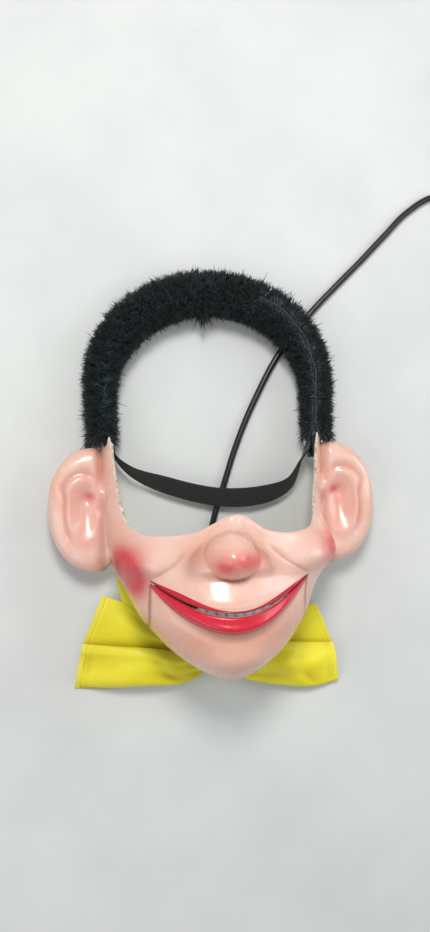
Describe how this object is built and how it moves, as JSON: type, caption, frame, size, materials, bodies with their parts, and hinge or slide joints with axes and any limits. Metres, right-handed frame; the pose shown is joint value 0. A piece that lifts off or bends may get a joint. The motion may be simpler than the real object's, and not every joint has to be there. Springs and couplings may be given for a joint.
{
  "type": "ventriloquist half mask",
  "caption": "Ventriloquist half mask with big ears, a hinged jaw on a cable and squeeze grip, a furred headband, a back strap and a yellow bow tie.",
  "frame": {"origin": "the middle of the headband's crown, on the flat back of its fur where the mask rests on a table", "axes": "+Z out of the face, +Y towards the crown, +X towards the right of the face as seen from the front"},
  "size_m": [0.426, 0.4753, 0.1118],
  "materials": {
    "painted_skin": "gloss enamel over a moulded shell",
    "teeth": "gloss",
    "band_plastic": "matt",
    "black_fur": "long pile",
    "black_webbing": "woven elastic",
    "cable_black": "smooth housing",
    "grip_plastic": "fine texture",
    "brass": "machined",
    "steel": "zinc plated",
    "block_wood": "sanded",
    "yellow_satin": "satin sheen"
  },
  "bodies": {
    "mask": {"face_shell": "painted_skin", "left_ear": "painted_skin", "right_ear": "painted_skin", "upper_teeth": "teeth", "headband_core": "band_plastic", "fur_cover": "black_fur", "elastic_strap": "black_webbing", "left_temple_rivet": "steel", "right_temple_rivet": "steel", "left_hinge_block": "block_wood", "right_hinge_block": "block_wood", "left_pivot_screw": "steel", "right_pivot_screw": "steel", "cable_stop_block": "block_wood", "mask_ferrule": "brass", "pull_wire": "steel", "spring_peg": "block_wood", "return_spring": "steel", "cable_housing": "cable_black", "cable_coil": "cable_black", "coil_tie": "black_webbing", "cable_lead": "cable_black", "grip_body": "grip_plastic", "grip_ferrule": "brass", "grip_wire": "steel", "lever_pin": "steel", "bow_left_wing": "yellow_satin", "bow_right_wing": "yellow_satin", "bow_knot": "yellow_satin", "left_ribbon": "yellow_satin", "right_ribbon": "yellow_satin", "left_ribbon_tack": "steel", "right_ribbon_tack": "steel"},
    "jaw": {"jaw_shell": "painted_skin", "left_jaw_arm": "steel", "right_jaw_arm": "steel", "left_arm_screw_1": "steel", "right_arm_screw_1": "steel", "left_arm_screw_2": "steel", "right_arm_screw_2": "steel", "wire_nipple": "brass"},
    "lever": {"squeeze_lever": "grip_plastic", "lever_nipple": "brass"}
  },
  "joints": [
    {"name": "jaw_open", "type": "hinge", "parent": "mask", "child": "jaw", "pos_m": [0, -0.219, 0.029], "axis": [1, 0, 0], "range_deg": [0, 16], "stiffness_Nm_per_rad": 0.15, "springref_deg": -34.38, "deforming": ["return_spring", "pull_wire"]},
    {"name": "lever_squeeze", "type": "hinge", "parent": "mask", "child": "lever", "pos_m": [0.2615, 0.034, 0.01], "axis": [0, 0, -1], "range_deg": [0, 12.5], "deforming": ["grip_wire"]}
  ],
  "couplings": [
    {"joint": "lever_squeeze", "follows": "jaw_open", "ratio": 0.75}
  ]
}
